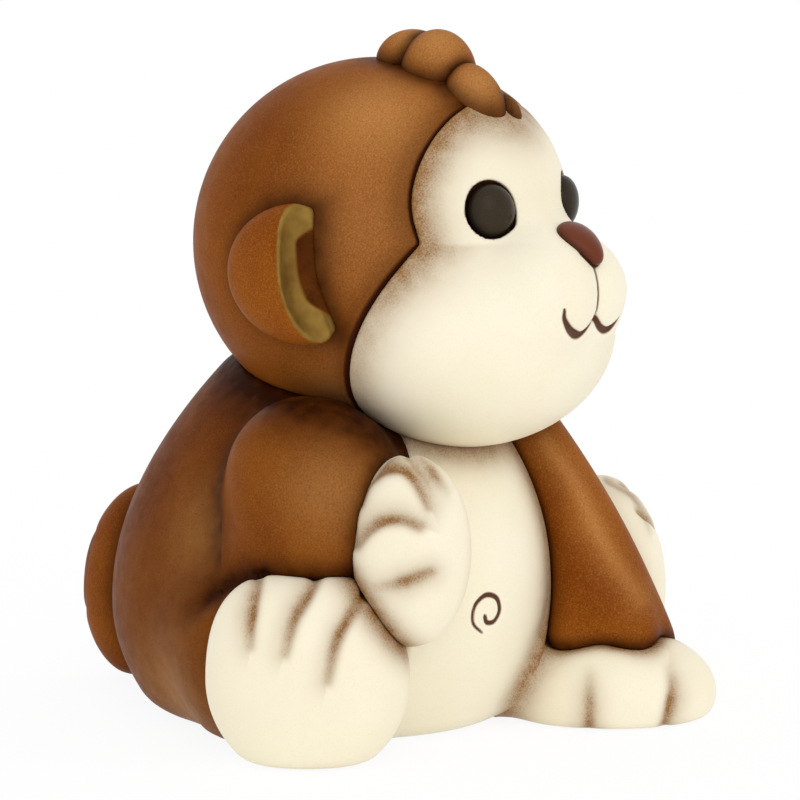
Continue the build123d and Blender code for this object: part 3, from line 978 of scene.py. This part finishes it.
def paint_ear(side_name):
    """Gold lustre on the outer part of the wall, dark inside it and at the root."""
    def paint(points, normals):
        local = in_head(points)
        from_head = FORMS["head"](points)
        wall = 1 - ramp(ear_front(local, SIDES[side_name]), *EAR_WALL_FADE)
        inner = EAR_GOLD * ramp(local[:, 2], *EAR_GOLD_LOW) * (1 - ramp(local[:, 2], *EAR_GOLD_HIGH))
        inner -= EAR_GOLD_SINK
        gold = wall * ramp(from_head, inner, inner + EAR_GOLD_EDGE)
        strength, reach = EAR_ROOT_SPRAY
        shade = np.maximum(strength * near(from_head, reach), EAR_WALL_SHADE * wall * (1 - gold))
        return points, {"shade": shade, "gold": gold}
    return paint


def paint_by(sources, strokes=(), spots=(), highlight_bands=(), tone=0.0):
    """Dark spray along creases, partly airbrushed brown and partly painted shade, an even darkening all over,
    strokes, pale spots that are partly painted highlights, and painted highlights along bands.
    """
    def paint(points, normals):
        shade = 1 - (1 - sprayed(points, sources)) * (1 - tone)
        moved, spray, line = engrave(points, normals, strokes)
        pale = pale_and_highlight_spots(points, spots)
        for highlight_band in highlight_bands:
            signed, strength, facing = highlight_band.measure(points, normals)
            pale = np.maximum(pale, highlight_band.cloud(signed, strength) * facing)
        return moved, {"shade": 1 - (1 - shade) * (1 - spray), "line": line, "pale": pale}
    return paint


# Paler places in the brown glaze, as (centre, reach, strength), partly a lighter tone and partly painted
# highlights; the low one on the torso is a painted reflection of the floor. Those of the head are in its own
# frame
HEAD_PALE_AND_HIGHLIGHT_SPOTS = [
    ((-20.3, -14.2, 26.0), 11.0, 0.75),
    ((-28.0, -18.0, 6.0), 16.0, 0.38),
    ((-22.0, -12.0, -28.0), 10.0, 0.65),
]
TORSO_PALE_AND_HIGHLIGHT_SPOTS = [((-39.0, -3.0, 41.0), 9.0, 0.55), ((-36.0, 2.0, 6.0), 14.0, 1.0)]
ARM_PALE_AND_HIGHLIGHT_SPOTS = [((-38.0, -38.0, 52.0), 9.0, 0.55)]


def add_node(tree, kind, inputs, **settings):
    """Adds a shader node, with its settings, and with values or links on its inputs."""
    made = tree.nodes.new(kind)
    for name, value in settings.items():
        setattr(made, name, value)
    for socket, value in inputs.items():
        if isinstance(value, bpy.types.NodeSocket):
            tree.links.new(value, made.inputs[socket])
        else:
            made.inputs[socket].default_value = value
    return made


def noise(tree, coordinates, size, detail=2.0):
    """Noise with features of a size in millimetres."""
    inputs = {"Vector": coordinates, "Scale": 1 / (size * MM), "Detail": detail}
    return add_node(tree, "ShaderNodeTexNoise", inputs).outputs["Fac"]


def spread(tree, value, low, high, start, end):
    """Maps a value from one range to another, and keeps it in that."""
    inputs = {"Value": value, "From Min": low, "From Max": high, "To Min": start, "To Max": end}
    return add_node(tree, "ShaderNodeMapRange", inputs).outputs["Result"]


def mixed(tree, share, first, second):
    """Mix of two colours."""
    made = add_node(tree, "ShaderNodeMix", {0: share, 6: first, 7: second}, data_type="RGBA")
    return made.outputs[2]


def sums(tree, operation, first, second):
    """One sum on two values, kept between 0 and 1."""
    made = add_node(tree, "ShaderNodeMath", {0: first, 1: second}, operation=operation, use_clamp=True)
    return made.outputs[0]


def attribute(tree, name):
    """Value that is painted on the points of a mesh."""
    return add_node(tree, "ShaderNodeAttribute", {}, attribute_name=name).outputs["Fac"]


def srgb(red, green, blue):
    """Colour that is written as it looks on a screen, from 0 to 255."""
    linear = []
    for value in (red, green, blue):
        share = value / 255
        linear.append(share / 12.92 if share <= 0.04045 else ((share + 0.055) / 1.055) ** 2.4)
    return (*linear, 1.0)


def glaze(name, deep, pale, speck_and_highlight, spray_and_shade_colour, line_colour, roughness, sheen, grains, gold=None):
    """Satin glaze: two tones in soft patches, fine specks, painted highlights, spray with a broken edge that
    is partly airbrushed brown and partly painted shade, and brushed lines.
    """
    material = bpy.data.materials.new(name)
    material.use_nodes = True
    tree = material.node_tree
    shader = tree.nodes["Principled BSDF"]
    shader.inputs["Specular IOR Level"].default_value = sheen
    coordinates = add_node(tree, "ShaderNodeTexCoord", {}).outputs["Object"]
    patches = noise(tree, coordinates, PATCH_SIZE, PATCH_DETAIL)
    mottle = noise(tree, coordinates, MOTTLE_SIZE)
    grain = noise(tree, coordinates, GRAIN_SIZE, GRAIN_DETAIL)
    tone = spread(tree, patches, 0.36, 0.64, 0.0, 1.0)
    colour = mixed(tree, tone, deep, pale)
    # Paler where the pale attribute paints highlights and lighter glaze, and in fine light specks from the
    # grain
    light = sums(tree, "ADD", attribute(tree, "pale"), spread(tree, grain, 0.5, 0.75, 0.0, grains))
    colour = mixed(tree, light, colour, speck_and_highlight)
    # Darker where the shade attribute holds the spray, partly airbrushed brown and partly painted shade
    shade = attribute(tree, "shade")
    by_grain = spread(tree, grain, NOISE_LOW, NOISE_HIGH, 1 - BROKEN_BY_GRAIN, 1 + BROKEN_BY_GRAIN)
    by_mottle = spread(tree, mottle, NOISE_LOW, NOISE_HIGH, 1 - BROKEN_BY_MOTTLE, 1 + BROKEN_BY_MOTTLE)
    broken = sums(tree, "MULTIPLY", shade, by_grain)
    broken = sums(tree, "MULTIPLY", broken, by_mottle)
    broken = sums(tree, "ADD", broken, spread(tree, grain, 0.5, 0.25, 0.0, grains))
    colour = mixed(tree, broken, colour, spray_and_shade_colour)
    line = spread(tree, attribute(tree, "line"), 0.5 - LINE_SOFTNESS, 0.5 + LINE_SOFTNESS, 0.0, 1.0)
    colour = mixed(tree, line, colour, line_colour)
    smooth = roughness - ROUGHNESS_SPREAD
    rough = spread(tree, mottle, NOISE_LOW, NOISE_HIGH, smooth, roughness + ROUGHNESS_SPREAD)
    if gold:
        share = attribute(tree, "gold")
        colour = mixed(tree, share, colour, mixed(tree, mottle, gold[0], gold[1]))
        tree.links.new(sums(tree, "MULTIPLY", share, GOLD_METAL), shader.inputs["Metallic"])
    tree.links.new(colour, shader.inputs["Base Color"])
    tree.links.new(rough, shader.inputs["Roughness"])
    fine = spread(tree, grain, 0.2, 0.8, 0.0, 0.4)
    coarse = spread(tree, mottle, 0.2, 0.8, 0.0, 0.6)
    relief = sums(tree, "ADD", fine, coarse)
    inputs = {"Height": relief, "Strength": BUMP_STRENGTH, "Distance": BUMP_HEIGHT * MM}
    bump = add_node(tree, "ShaderNodeBump", inputs)
    tree.links.new(bump.outputs["Normal"], shader.inputs["Normal"])
    return material


BROWN = dict(
    deep=srgb(124, 61, 9), pale=srgb(146, 80, 19), speck_and_highlight=srgb(190, 132, 74), spray_and_shade_colour=srgb(50, 20, 4),
    line_colour=srgb(60, 26, 10), roughness=0.42, sheen=0.02, grains=0.25,
)
CREAM = dict(
    deep=srgb(247, 239, 214), pale=srgb(250, 243, 221), speck_and_highlight=srgb(243, 232, 204),
    spray_and_shade_colour=srgb(144, 100, 48), line_colour=srgb(88, 52, 30), roughness=0.42, sheen=0.15, grains=0.06,
)
DARK = dict(
    deep=srgb(46, 37, 24), pale=srgb(54, 44, 29), speck_and_highlight=srgb(84, 74, 54), spray_and_shade_colour=srgb(14, 10, 5),
    line_colour=srgb(14, 10, 5), roughness=0.3, sheen=0.15, grains=0.15,
)
RED = dict(
    deep=srgb(98, 46, 24), pale=srgb(112, 54, 30), speck_and_highlight=srgb(134, 72, 46), spray_and_shade_colour=srgb(52, 24, 12),
    line_colour=srgb(52, 24, 12), roughness=0.32, sheen=0.15, grains=0.1,
)
GOLD = (srgb(104, 76, 26), srgb(166, 132, 66))
MATERIALS = {
    "brown_glaze": glaze("brown_glaze", **BROWN),
    "cream_glaze": glaze("cream_glaze", **CREAM),
    "dark_glaze": glaze("dark_glaze", **DARK),
    "red_glaze": glaze("red_glaze", **RED),
    "brown_and_gold": glaze("brown_and_gold", gold=GOLD, **BROWN),
}
SLOTS = {subpart["node"]: subpart["material_slot"] for subpart in frame["record"]["subparts"]}


def add_piece(node, shape, paint, voxel, margin=MARGIN, material=None):
    """Makes the mesh of a piece in the place of its CAD node, paints it and gives it its glaze."""
    low, high = (np.array(corner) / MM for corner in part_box(node))
    points, quads, normals = surface(shape, (low - margin, high + margin), voxel)
    points, painted = paint(points, normals)
    points[:, 2] = np.maximum(points[:, 2], 0)
    mesh = bpy.data.meshes.new(node + "_glazed")
    mesh.from_pydata((points * MM).tolist(), [], quads.tolist())
    mesh.polygons.foreach_set("use_smooth", np.ones(len(quads), bool))
    for name, values in painted.items():
        layer = mesh.attributes.new(name, "FLOAT", "POINT")
        layer.data.foreach_set("value", values.astype(np.float32))
    mesh.update()
    piece = bpy.data.objects.new(node + "_glazed", mesh)
    bpy.context.scene.collection.objects.link(piece)
    mesh.materials.append(MATERIALS[material or SLOTS[node]])
    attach(piece, "root")
    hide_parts(node)


# Pieces of the head; where the eyes, nose and locks meet the head they are sprayed darker, partly airbrushed
# brown and partly painted shade
add_piece("head_shell", head_shell_shape, paint_head, 0.65)
add_piece("face_mask", face_shape, paint_face, 0.45)
for side_name in SIDES:
    add_piece("ear_" + side_name, laid_shape("ear_" + side_name), paint_ear(side_name), 0.4,
              material="brown_and_gold")
    add_piece("eye_" + side_name, of_head(EYES[side_name]), paint_by([("head", 0.5, 0.8)]), 0.3)
add_piece("nose", laid_shape("nose"), paint_by([("head", 0.8, 0.9)]), 0.3)
for lock_name, lock_form in LOCKS.items():
    others = [(f"lock_{other}", 0.75, 1.5) for other in LOCKS if other != lock_name]
    # Painted highlight on the top of each lock
    top = out_of_head(lock_form.centre) + np.array(LOCK_LIGHT)
    add_piece("hair_curl_" + lock_name, laid_shape("lock_" + lock_name),
              paint_by([("head", 0.7, 2.0)] + others, spots=[(top, 6.0, 0.85)]), 0.35)

# Pieces of the body; their sprays along creases and under the head are partly airbrushed brown and partly
# painted shade
add_piece("body_shell", body_shell_shape, paint_by([
    ("head", 0.9, 7.0), ("arm_right", 0.8, 4.0), ("sleeve", 0.7, 3.0),
    ("tail", 0.8, 4.5)], [THIGH_CREASE, HEAD_SHADE], TORSO_PALE_AND_HIGHLIGHT_SPOTS, tone=0.4), 0.75)
add_piece("belly_panel", belly_shape, paint_by([
    ("head", 0.75, 4.0), ("sleeve", 0.8, 5.5), ("hand_left", 0.85, 4.0),
    ("hand_right", 0.2, 2.0)], NAVEL), 0.5)
add_piece("arm_right", plain_shape("arm_right"), paint_by([
    ("head", 0.9, 8.0), ("torso", 0.7, 2.6), ("leg_right", 0.8, 3.0), ("foot_right", 0.7, 3.0),
    ("hand_right", 0.5, 2.0)], [THIGH_CREASE, HEAD_SHADE], ARM_PALE_AND_HIGHLIGHT_SPOTS, tone=0.2), 0.55, WIDE_MARGIN)
add_piece("hand_right", plain_shape("hand_right"), paint_by([
    ("foot_right", 0.9, 3.6), ("arm_right", 0.3, 1.2)], HAND_RIGHT_STROKES), 0.4)
add_piece("leg_right", plain_shape("leg_right"), paint_by([
    ("arm_right", 0.8, 3.0), ("foot_right", 0.5, 2.0)],
    [THIGH_CREASE], TORSO_PALE_AND_HIGHLIGHT_SPOTS, tone=0.4), 0.6, WIDE_MARGIN)
add_piece("foot_right", plain_shape("foot_right"), paint_by([
    ("hand_right", 0.9, 3.6)], FOOT_STROKES["right"]), 0.45)
add_piece("arm_left", plain_shape("sleeve", HEM_EDGE), paint_by([
    ("head", 0.5, 4.0), ("torso", 0.5, 1.2), ("hand_left", 0.75, 1.5)],
    highlight_bands=[SLEEVE_HIGHLIGHT]), 0.5, WIDE_MARGIN)
add_piece("hand_left", plain_shape("hand_left"), paint_by([
    ("torso", 0.9, 4.5), ("sleeve", 0.9, 1.4)], HAND_LEFT_STROKES), 0.5)
add_piece("leg_left", plain_shape("leg_left"), paint_by([
    ("sleeve", 0.7, 3.0), ("foot_left", 0.6, 2.5)], tone=0.4), 0.6, WIDE_MARGIN)
add_piece("foot_left", plain_shape("foot_left"), paint_by([("sleeve", 0.5, 3.0)], FOOT_STROKES["left"]), 0.5)
add_piece("tail", plain_shape("tail"), paint_by([("torso", 0.8, 4.0)], TAIL_CURL, tone=0.12), 0.5)


def seen_white(tree, shader, strength):
    """Mix of a shader with plain white, for the rays that show the background."""
    path = add_node(tree, "ShaderNodeLightPath", {})
    seen = sums(tree, "ADD", path.outputs["Is Camera Ray"], path.outputs["Is Glossy Ray"])
    seen = sums(tree, "ADD", seen, path.outputs["Is Transmission Ray"])
    share = sums(tree, "MULTIPLY", seen, strength)
    white = add_node(tree, "ShaderNodeEmission", {"Color": (1, 1, 1, 1), "Strength": 1.0})
    return add_node(tree, "ShaderNodeMixShader", {0: share, 1: shader, 2: white.outputs[0]}).outputs[0]


def add_floor():
    """Pale floor that keeps a soft shadow of the figure."""
    material = bpy.data.materials.new("floor")
    material.use_nodes = True
    tree = material.node_tree
    shader = tree.nodes["Principled BSDF"]
    shader.inputs["Base Color"].default_value = (FLOOR_GREY, FLOOR_GREY, FLOOR_GREY, 1)
    shader.inputs["Roughness"].default_value = 0.9
    shader.inputs["Emission Color"].default_value = (1, 1, 1, 1)
    shader.inputs["Emission Strength"].default_value = FLOOR_GLOW
    mixed_shader = seen_white(tree, shader.outputs[0], FLOOR_WHITE)
    tree.links.new(mixed_shader, tree.nodes["Material Output"].inputs["Surface"])
    corners = [(x * FLOOR_HALF, y * FLOOR_HALF, 0) for x, y in ((-1, -1), (1, -1), (1, 1), (-1, 1))]
    mesh = bpy.data.meshes.new("floor")
    mesh.from_pydata(corners, [], [(0, 1, 2, 3)])
    mesh.materials.append(material)
    floor = bpy.data.objects.new("floor", mesh)
    floor.location.z = -FLOOR_DROP * MM
    bpy.context.scene.collection.objects.link(floor)


def add_world():
    """Soft white surroundings."""
    world = bpy.data.worlds.new("surroundings")
    world.use_nodes = True
    tree = world.node_tree
    light = tree.nodes["Background"]
    light.inputs["Color"].default_value = SURROUNDINGS
    light.inputs["Strength"].default_value = SURROUNDINGS_STRENGTH
    tree.links.new(seen_white(tree, light.outputs[0], 1.0), tree.nodes["World Output"].inputs["Surface"])
    bpy.context.scene.world = world


def add_lamp():
    """Wide soft sun over the camera, a little to its right."""
    lamp = bpy.data.lights.new("key_lamp", "SUN")
    lamp.angle = math.radians(LAMP_ANGLE)
    lamp.energy = LAMP_ENERGY
    holder = bpy.data.objects.new("key_lamp", lamp)
    azimuth = math.radians(CAMERA_AZIMUTH + LAMP_TURN)
    toward = Vector((LAMP_FLAT * math.sin(azimuth), -LAMP_FLAT * math.cos(azimuth), LAMP_UP))
    holder.location = toward
    holder.rotation_euler = toward.to_track_quat("Z", "Y").to_euler()
    bpy.context.scene.collection.objects.link(holder)


def add_camera():
    """Camera at the photograph's viewing angle."""
    azimuth = math.radians(CAMERA_AZIMUTH)
    elevation = math.radians(CAMERA_ELEVATION)
    flat = math.cos(elevation)
    back = Vector((math.sin(azimuth) * flat, -math.cos(azimuth) * flat, math.sin(elevation)))
    camera = bpy.data.cameras.new("camera")
    camera.lens = CAMERA_LENS
    holder = bpy.data.objects.new("camera", camera)
    holder.location = (Vector(CAMERA_TARGET) + back * CAMERA_DISTANCE) * MM
    holder.rotation_euler = back.to_track_quat("Z", "Y").to_euler()
    bpy.context.scene.collection.objects.link(holder)
    bpy.context.scene.camera = holder


add_floor()
add_world()
add_lamp()
add_camera()
bpy.context.scene.view_settings.view_transform = "Standard"
